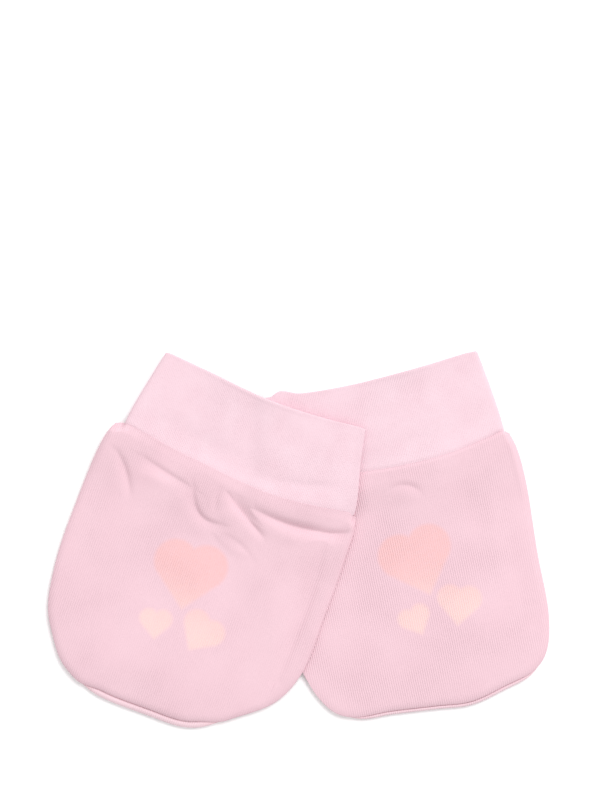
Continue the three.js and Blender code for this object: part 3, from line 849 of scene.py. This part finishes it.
def stitches(n, place, knit):
    """Waves of the wales and of the stitches' slanting legs, both a little uneven, as in a real knit."""
    cloth = n.add("ShaderNodeUVMap", uv_map="cloth").outputs[0]
    parts = n.add("ShaderNodeSeparateXYZ", {0: cloth})
    swing = n.math("MULTIPLY", n.math("SUBTRACT", n.noise(140, 2, place), 0.5), 0.6)
    u = n.math("ADD", n.math("DIVIDE", parts.outputs[0], knit["wale"] * MM), swing)
    v = n.math("ADD", n.math("DIVIDE", parts.outputs[1], knit["course"] * MM), swing)
    sideways = n.math("ABSOLUTE", n.math("SUBTRACT", n.math("FRACT", u), 0.5))
    wales = n.math("COSINE", n.math("MULTIPLY", sideways, 2 * np.pi))
    slant = n.math("ADD", v, n.math("MULTIPLY", sideways, 1.6))
    legs = n.math("COSINE", n.math("MULTIPLY", slant, 2 * np.pi))
    patches = n.map_range(n.noise(55, 2, place), 0.36, 0.64, 0.3, 1.3)
    return n.math("MULTIPLY", wales, patches), legs


def plain_tone(n, place, knit):
    """The cloth's colour with soft darker clouds."""
    cloudy = n.math("ADD", n.math("MULTIPLY", n.noise(knit["cloud_scale"], 4, place), 2.4), -0.7)
    return n.mix(cloudy, *(linear(*colour) for colour in knit["colours"]))


def printed_tone(n, place, tone):
    """Ink on the cloth inside the print's shapes, a little patchy."""
    mask = n.map_range(n.attribute("print"), -0.5, 0.8)
    ink = n.mix(n.attribute("print_fall"), *(linear(*colour) for colour in PRINT_COLOURS))
    grain = n.math("ADD", n.math("MULTIPLY", n.noise(900, 2, place), 0.5), 0.62)
    return n.mix(n.math("MULTIPLY", mask, grain), tone, ink)


def shaded_tone(n, tone, wales, legs, yarn, knit):
    """Painted shade: darker between wales, legs and yarns, and near a fold's edge."""
    shade = n.math("ADD", n.math("MULTIPLY", wales, knit["valley_shade"]), 0.96)
    # Painted shade near a fold's edge.
    shade = n.math("SUBTRACT", shade, n.math("MULTIPLY", n.attribute("painted_edge_shade"), 0.03))
    shade = n.math("ADD", shade, n.math("MULTIPLY", legs, 0.012))
    shade = n.math("ADD", shade, n.math("MULTIPLY", n.math("SUBTRACT", yarn, 0.5), 0.12))
    grey = n.add("ShaderNodeCombineXYZ", {0: shade, 1: shade, 2: shade}).outputs[0]
    return n.add("ShaderNodeVectorMath", {0: tone, 1: grey}, operation="MULTIPLY").outputs[0]


def knit_material(name, knit, printed=False):
    n = Nodes(name)
    place = n.add("ShaderNodeTexCoord").outputs["Object"]
    wales, legs = stitches(n, place, knit)
    yarn = n.noise(2400, 2, place)
    height = n.math("ADD", n.math("MULTIPLY", wales, knit["wales"]), n.math("MULTIPLY", legs, knit["legs"]))
    height = n.math("ADD", height, n.math("MULTIPLY", yarn, knit["fuzz"]))
    bump = n.add("ShaderNodeBump", {"Height": height, "Strength": 1.0, "Distance": knit["relief"] * MM})
    n.put(bump.outputs[0], n.shader.inputs["Normal"])

    tone = plain_tone(n, place, knit)
    if printed:
        tone = printed_tone(n, place, tone)
    # Painted light: the palm's showing edge is mixed towards a paler colour.
    painted_light = n.math("MULTIPLY", n.attribute("painted_edge_light"), 0.8)
    tone = n.mix(painted_light, tone, linear(*PAINTED_EDGE_LIGHT_COLOUR))
    n.put(shaded_tone(n, tone, wales, legs, yarn, knit), n.shader.inputs["Base Color"])
    n.shader.inputs["Roughness"].default_value = 0.92
    n.shader.inputs["Specular IOR Level"].default_value = 0.2
    n.shader.inputs["Sheen Weight"].default_value = 0.06
    n.shader.inputs["Sheen Roughness"].default_value = 0.5
    n.shader.inputs["Sheen Tint"].default_value = linear(*SHEEN_COLOUR)
    return n.material


def heart(x, y):
    """Distance inside a heart one unit wide or so, with its point at the origin and its lobes towards +y."""
    x = np.abs(x)
    lobe = np.hypot(x - 0.25, y - 0.75) - np.sqrt(2) / 4
    along = 0.5 * np.maximum(x + y, 0)
    to_notch, to_side = x**2 + (y - 1) ** 2, (x - along) ** 2 + (y - along) ** 2
    lower = np.sqrt(np.minimum(to_notch, to_side)) * np.sign(x - y)
    return -np.where(x + y > 1, lobe, lower)


def print_hearts(piece, mitten):
    """Stores a generic print of three hearts: how far inside them and how far down the print a point is."""
    points = np.array([v.co[:] for v in piece.data.vertices]) / MM
    across, along = from_pair(mitten, points[:, 0], points[:, 1])
    across, along = across - mitten["print"][0], along - mitten["print"][1]
    inside = np.full(len(across), -9.0)
    for at_across, at_along, size, tilt in HEARTS:
        dx, dy = (across - at_across) / size, -(along - at_along) / size
        c, s = np.cos(np.radians(tilt)), np.sin(np.radians(tilt))
        inside = np.maximum(inside, heart(dx * c + dy * s, dy * c - dx * s) * size)
    store(piece, "print", inside)
    store(piece, "print_fall", smoothstep(along, 2, 24))


def floor_material():
    n = Nodes("floor")
    n.shader.inputs["Base Color"].default_value = linear(*FLOOR_COLOUR)
    n.shader.inputs["Roughness"].default_value = 0.9
    n.shader.inputs["Specular IOR Level"].default_value = 0.0
    return n.material


def make_floor():
    half = 4.0
    below = 0.0002  # a hair under the mittens
    mesh = bpy.data.meshes.new("floor")
    corners = [(-half, -half, 0), (half, -half, 0), (half, half, 0), (-half, half, 0)]
    mesh.from_pydata(corners, [], [(0, 1, 2, 3)])
    mesh.materials.append(floor_material())
    floor = bpy.data.objects.new("floor", mesh)
    floor.location.z = -below
    bpy.context.scene.collection.objects.link(floor)


def make_light():
    """A bright room, and a wide soft light from the upper right of the photograph."""
    world = bpy.data.worlds.new("studio")
    bpy.context.scene.world = world
    world.use_nodes = True
    background = world.node_tree.nodes["Background"]
    background.inputs["Color"].default_value = (1, 1, 1, 1)
    background.inputs["Strength"].default_value = 0.84
    soft = bpy.data.lights.new("soft_light", "SUN")
    soft.angle = np.radians(36)
    soft.energy = 1.85
    lamp = bpy.data.objects.new("soft_light", soft)
    lamp.location = (0.6, 0.85, 1.15)
    aim = -lamp.location.normalized()
    lamp.rotation_euler = aim.to_track_quat("-Z", "Y").to_euler()
    bpy.context.scene.collection.objects.link(lamp)


def make_camera():
    """Straight above, as for the photograph, with its scale true halfway up the mittens."""
    distance, halfway_up, sensor = 0.9, 0.003, 36
    camera = bpy.data.cameras.new("camera")
    camera.sensor_width = sensor
    camera.lens = sensor * (distance - halfway_up) / (FRAME_HEIGHT * PIXEL * MM)
    camera.clip_end = 20
    view = bpy.data.objects.new("camera", camera)
    to_right = (FRAME_WIDTH / 2 - ORIGIN_PIXEL[0]) * PIXEL * MM
    up = (ORIGIN_PIXEL[1] - FRAME_HEIGHT / 2) * PIXEL * MM
    view.location = (to_right, up, distance)
    bpy.context.scene.collection.objects.link(view)
    bpy.context.scene.camera = view


def flat_on_floor(x, y):
    return np.zeros(np.shape(x))


bpy.context.scene.view_settings.view_transform = "Standard"
make_camera()
make_light()
make_floor()

jersey = knit_material("jersey", JERSEY_KNIT, printed=True)
rib = knit_material("rib", RIB_KNIT)
RIGHT.update(under=flat_on_floor, press=press_of(LEFT))
LEFT.update(under=cover_of(RIGHT), press=flat_on_floor)
for mitten, rests_on in ((RIGHT, ["floor"]), (LEFT, ["floor", "right_mitten_back"])):
    palm = make_palm(mitten, jersey)
    cuff = make_cuff(mitten, rib)
    back = make_back(mitten, jersey)
    print_hearts(back, mitten)
